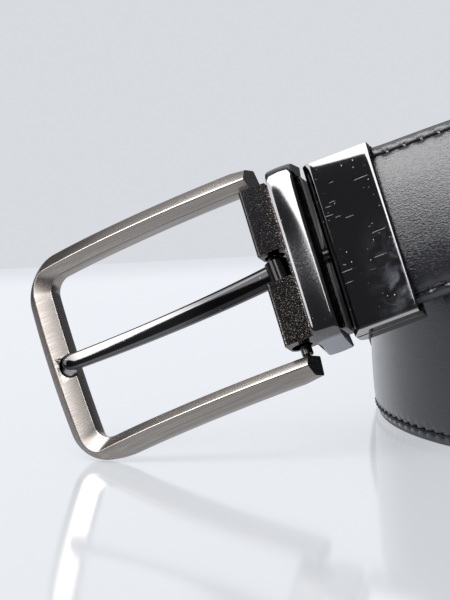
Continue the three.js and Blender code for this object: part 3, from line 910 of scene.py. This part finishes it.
def make_axle(finish, place):
    """The pin as a turned profile, end to end, with fine ribs between the upper lug and the prong."""
    radius, end = AXLE["radius"], AXLE["half_length"]
    chamfer, shoulder = AXLE["chamfer"], AXLE["shoulder"]
    profile = [(-TENON["half_length"], TENON["radius"]), (-end - shoulder, TENON["radius"])]
    profile += [(-end, radius - chamfer), (-end + chamfer, radius)]
    rib = (AXLE_RIBS["to"] - AXLE_RIBS["from"]) / AXLE_RIBS["count"]
    for k in range(AXLE_RIBS["count"]):
        start = AXLE_RIBS["from"] + k * rib
        profile += [(start, radius), (start + rib * 0.5, radius + AXLE_RIBS["depth"])]
    profile += [(AXLE_RIBS["to"], radius), (end - chamfer, radius), (end, radius - chamfer)]
    profile += [(end + shoulder, TENON["radius"]), (TENON["half_length"], TENON["radius"])]
    turn = np.linspace(0, 2 * math.pi, 48, endpoint=False)
    rings = [[(size * math.cos(a), y, size * math.sin(a)) for a in turn] for y, size in profile]
    axle = add_piece("axle", loft("axle", rings), [finish], place)
    smooth(axle, sharp_angle=35)
    finished(axle, "frame", "steel", "axle_pin")


# Frame. Its points are placed by how far they are from the bar's outer side (along), from the
# middle (across) and in front of the ridge line (out).


def frame_point(along, across, out):
    middle = FRAME["length"] / 2
    bowed = (middle**2 - (along - middle) ** 2) / (2 * FRAME["bow"])
    dropped = FRAME["drop"] * max(0, 1 - along / middle) ** 4
    beside = 1 - (across / (FRAME["width"] / 2)) ** 2
    bulged = BAR_BULGE["depth"] * beside * max(0, 1 - along / BAR_BULGE["reach"])
    return Vector((along - bulged - FRAME["length"], across, out + bowed - dropped))


def half_width_at(along):
    return FRAME["width"] / 2 - FRAME["taper"] * (1 - along / FRAME["length"])


def frame_line(arm_inset, bar_inset, corner, part, share):
    """One of the lines that run round the frame: straight arm, round corner, bar."""
    corner_along = bar_inset + corner["along"]
    corner_across = half_width_at(corner_along) - arm_inset - corner["across"]
    if part == "arm":
        along = between(FRAME["length"], corner_along, share)
        return along, half_width_at(along) - arm_inset
    if part == "corner":
        angle = share * math.pi / 2
        along = corner_along - corner["along"] * math.sin(angle)
        return along, corner_across + corner["across"] * math.cos(angle)
    return bar_inset, corner_across * (1 - 2 * share)


def size_at(part, share, name):
    if part == "arm":
        return between(ARM[name], ARM_AT_CORNER[name], share)
    if part == "corner":
        return between(ARM_AT_CORNER[name], BAR[name], share)
    return BAR[name]


def frame_section(part, share, side):
    """The section's corners at one place, from the outer back edge round to the outer front edge."""
    tuck = ARM_END["tuck"] if (part, share) == ("arm", 0) else 0
    lines = [
        (tuck, BAR_BACK_INSET, "back", -size_at(part, share, "outer_depth")),
        (ARM["width"], BAR["width"], "inner", -size_at(part, share, "depth")),
        (ARM["width"], BAR["width"], "inner", -size_at(part, share, "inner_drop")),
        (ARM["ridge"], BAR["ridge"], "ridge", 0),
        (tuck, 0, "outer", -size_at(part, share, "outer_drop")),
    ]
    points = []
    for arm_inset, bar_inset, corner, out in lines:
        along, across = frame_line(arm_inset, bar_inset, CORNER[corner], part, share)
        point = frame_point(along, side * across, out)
        if (part, share) == ("arm", 0):
            point.x += ARM_END["front"] - ARM_END["slope"] * point.z
        points.append(point)
    return points


def soft_corners(corners):
    """The section with all its corners rounded alike."""
    points = []
    for k, corner in enumerate(corners):
        before, after = corners[k - 1], corners[(k + 1) % len(corners)]
        start = corner + (before - corner).normalized() * FRAME_ROUNDING
        end = corner + (after - corner).normalized() * FRAME_ROUNDING
        points.extend(rounded_corner(start, corner, end, 5))
    return points


def frame_places():
    """Where the frame's sections are, from an arm's end to just short of the bar's middle."""
    counts = {"arm": 18, "corner": 16, "bar": 8}
    reach = {"arm": 1, "corner": 1, "bar": 0.5}
    return [(part, reach[part] * k / count) for part, count in counts.items() for k in range(count)]


def axle_in_frame():
    """The axle's middle in the frame's own axes."""
    offset = Vector((AXLE["x"] + FRAME_OFFSET["along"], 0, AXLE["z"] + FRAME_OFFSET["out"]))
    return Matrix.Rotation(math.radians(FRAME_PITCH), 3, "Y") @ offset


def notch_tool():
    """A bullet-shaped tool for the hollow under the prong's tip, its nose towards the bar's outer side."""
    half, depth = NOTCH["half_width"], NOTCH["depth"]
    stations = []
    for a in np.linspace(0, math.pi / 2, 14):
        stations.append((half * -math.cos(a), max(NOTCH["nose"], math.sin(a))))
    turn = np.linspace(0, 2 * math.pi, 40, endpoint=False)
    rings = []
    for along, size in [*stations, (NOTCH["length"], 1)]:
        rings.append([(along, half * size * math.cos(a), depth * size * math.sin(a)) for a in turn])
    return loft("notch", rings)


def make_frame(finish, dark, place):
    places = frame_places()
    upper = [frame_section(part, share, 1) for part, share in places]
    lower = [frame_section(part, share, -1) for part, share in reversed(places)]
    sections = [*upper, frame_section("bar", 0.5, 1), *lower]
    rings = [soft_corners(section) for section in sections]
    buckle = add_piece("buckle", loft("buckle", rings), [finish, dark], place)
    # The notch and the arm holes take the dark finish, which is painted shade in these hollows
    middle = frame_point(NOTCH["end"] + NOTCH["half_width"], NOTCH["across"], 0)
    notch_place = place @ Matrix.Translation(middle * MM) @ turned("Z", PRONG["yaw"])
    notch = add_piece("tool", notch_tool(), [dark], notch_place)
    combine(buckle, notch, "DIFFERENCE")
    axle, end = axle_in_frame(), ARM_HOLE["half_length"]
    hole = round_bar("Y", ARM_HOLE["radius"], -end, end, (axle.x, 0, axle.z), ARM_HOLE["sides"])
    combine(buckle, add_piece("tool", hole, [dark], place), "DIFFERENCE")
    smooth(buckle, sharp_angle=40)
    finished(buckle, "frame", "brushed_gunmetal", "buckle_frame")


# Prong


def prong_section(share):
    """A rounded top, and a flat underside with a crisp lower edge on each side."""
    half = between(PRONG["width"], PRONG["tip_width"], share) / 2
    thick = between(PRONG["thickness"], PRONG["tip_thickness"], share) / 2
    top = []
    for a in np.radians(np.linspace(0, 180, 21)):
        across = math.copysign(abs(math.cos(a)) ** PRONG_TOP["across_power"], math.cos(a))
        out = max(0, math.sin(a)) ** PRONG_TOP["out_power"]
        top.append((half * across, thick * (PRONG_TOP["base"] + PRONG_TOP["height"] * out)))
    foot, side = PRONG_UNDERSIDE["half"] * half, -PRONG_UNDERSIDE["side"] * thick
    return [*top, (-half, side), (-foot, -thick), (foot, -thick), (half, side)]


def prong_stations():
    """Shares of the prong's length, each with its section's size: whole, and rounded off at the nose."""
    stations = [(share, 1.0) for share in np.linspace(0, PRONG_NOSE["from"], 28)]
    for a in np.radians(PRONG_NOSE_TURN):
        size = max(PRONG_NOSE["least"], math.cos(a) ** PRONG_NOSE["power"])
        stations.append((PRONG_NOSE["from"] + PRONG_NOSE["length"] * math.sin(a), size))
    return stations


def make_prong(finish, dark, place):
    axle = axle_in_frame()
    tip = frame_point(PRONG_TIP["along"], 0, PRONG_TIP["out"])
    reach, rise = axle.x - tip.x, tip.z - axle.z
    rings = []
    for share, size in prong_stations():
        z = share * rise - PRONG_DIP * 4 * share * (1 - share)
        section = prong_section(share)
        rings.append([(-share * reach, across * size, z + out * size) for across, out in section])
    prong = add_piece("tongue_prong", loft("prong", rings), [finish, dark], place)
    # The ring's boss and eye take the dark finish, which is painted shade
    half = PRONG_RING["width"] / 2
    boss = round_bar("Y", PRONG_RING["radius"], -half, half, (0, 0, 0), sides=56)
    combine(prong, add_piece("tool", boss, [dark], place), "UNION")
    eye = round_bar("Y", PRONG_RING["hole"], -2 * half, 2 * half, (0, 0, 0))
    combine(prong, add_piece("tool", eye, [dark], place), "DIFFERENCE")
    smooth(prong, sharp_angle=34, softened=0.12)
    finished(prong, "tongue", "polished_gunmetal", "prong")


# Studio


def add_table():
    points = [(x, y, 0) for y in (-TABLE_REACH, TABLE_EDGE) for x in (-TABLE_REACH, TABLE_REACH)]
    mesh = tidy_mesh("table", points, [(0, 1, 3, 2)])
    add_piece("table", mesh, [table_gloss()])


def add_surround():
    world = bpy.data.worlds.new("studio")
    world.use_nodes = True
    world.node_tree.nodes["Background"].inputs["Color"].default_value = (*SURROUND_TONE, 1)
    world.cycles.sampling_method = "NONE"
    bpy.context.scene.world = world


def facing_buckle(azimuth, elevation, distance):
    """A place round the buckle, turned to face it. Azimuth 0 is in front, negative to the left."""
    turn, rise = math.radians(azimuth), math.radians(elevation)
    away = Vector((math.sin(turn) * math.cos(rise), -math.cos(turn) * math.cos(rise), math.sin(rise)))
    place = Matrix.Translation(Vector(BUCKLE_MIDDLE) * MM + away * distance * MM)
    return place @ away.to_track_quat("Z", "Y").to_matrix().to_4x4()


def add_softbox(name, azimuth, elevation, size, brightness):
    data = bpy.data.lights.new(name, "AREA")
    data.shape = "RECTANGLE"
    data.size, data.size_y = size[0] * MM, size[1] * MM
    data.energy = brightness * math.pi * data.size * data.size_y
    light = bpy.data.objects.new(name, data)
    bpy.context.scene.collection.objects.link(light)
    light.matrix_world = facing_buckle(azimuth, elevation, SOFTBOX_DISTANCE)
    light.visible_camera = False
    return light


def add_dark_shell(name, azimuths, elevations):
    """A part of a sphere round the buckle, dark grey, that shows only in reflections."""
    finish = Finish(name)
    dark = finish.surface(Base_Color=SHELL_TONE, Roughness=1.0, Specular_IOR_Level=0.0)
    rows, columns = SHELL_GRID["rows"], SHELL_GRID["columns"]
    points = []
    for elevation in np.linspace(*elevations, rows):
        for azimuth in np.linspace(*azimuths, columns):
            points.append(facing_buckle(azimuth, elevation, SHELL_DISTANCE).translation / MM)
    faces = []
    for row in range(rows - 1):
        for corner in range(columns * row, columns * row + columns - 1):
            faces.append((corner, corner + 1, corner + columns + 1, corner + columns))
    shell = add_piece(name, tidy_mesh(name, points, faces), [dark])
    shell.visible_camera = False
    shell.visible_diffuse = False
    shell.visible_shadow = False


def light_belt_only(light):
    """Keeps a low softbox off the table, which would mirror it as a white patch in other views."""
    belt = bpy.data.collections.new("belt")
    for piece in bpy.data.objects:
        if piece.type == "MESH" and piece.name != "table":
            belt.objects.link(piece)
    light.light_linking.receiver_collection = belt


def light_studio():
    add_softbox("top_front_softbox", **TOP_FRONT_SOFTBOX)
    light_belt_only(add_softbox("left_softbox", **LEFT_SOFTBOX))
    add_softbox("left_back_softbox", **LEFT_BACK_SOFTBOX)
    add_dark_shell("front_flag", **FRONT_SHELL)
    add_dark_shell("right_flag", **RIGHT_SHELL)


def make_strap_and_stitching():
    """Makes the strap and returns where it ends, in millimetres, as one station."""
    stations = follow_route()
    lowest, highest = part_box("strap")
    outside = stations["place"] + stations["normal"] * STRAP_THICKNESS / 2
    shift = np.array([highest.x / MM - outside[:, 0].max(), lowest.y / MM - outside[:, 1].min(), 0])
    finishes = [
        leather("black grained leather", **BLACK_LEATHER),
        leather("brown grained leather", **BROWN_LEATHER),
        edge_paint(),
    ]
    make_strap(stations, shift, finishes)
    make_stitching(stations, shift, thread())
    end = station_at(stations, -1)
    return {**end, "place": end["place"] + shift}


def make_buckle_end(end):
    """Makes all that the strap's end carries, in the buckle end's axes and those of the axle."""
    origin = end["place"] + end["travel"] * STRAP_INSET + end["normal"] * CLAMP["depth"] / 2
    axes = Matrix((-Vector(end["travel"]), Vector(end["width"]), Vector(end["normal"]))).transposed()
    buckle_end = Matrix.Translation(Vector(origin) * MM) @ axes.to_4x4()
    make_clamp(clamp_gunmetal(), buckle_end)
    make_loop(loop_gunmetal(), buckle_end)
    softened_copy("lugs", "hinge_block", cast_gunmetal(), "swivel_block", "cast_gunmetal", softened=0.18)

    pivot = buckle_end @ Matrix.Translation(Vector((AXLE["x"], 0, AXLE["z"])) * MM)
    pivot @= turned("Z", FRAME_YAW) @ turned("Y", -FRAME_PITCH)
    steel = polished_gunmetal("dark steel", **DARK_STEEL)
    make_axle(steel, pivot)
    # The darker finish is painted shade on the frame's notch and holes and on the prong's ring
    dark = polished_gunmetal("gunmetal with painted shade", **PAINTED_SHADE_METAL)
    make_frame(brushed_gunmetal(), dark, pivot @ Matrix.Translation(-axle_in_frame() * MM))
    prong_place = pivot @ Matrix.Translation((0, PRONG["across"] * MM, 0)) @ turned("Z", PRONG["yaw"])
    make_prong(prong_gunmetal(), dark, prong_place)
    softened_copy("swivel_stud", "swivel_stem", steel, "strap_end", "steel", softened=0.15)


def main():
    add_camera()
    bpy.context.scene.view_settings.view_transform = "Standard"
    make_buckle_end(make_strap_and_stitching())
    add_table()
    add_surround()
    light_studio()


main()
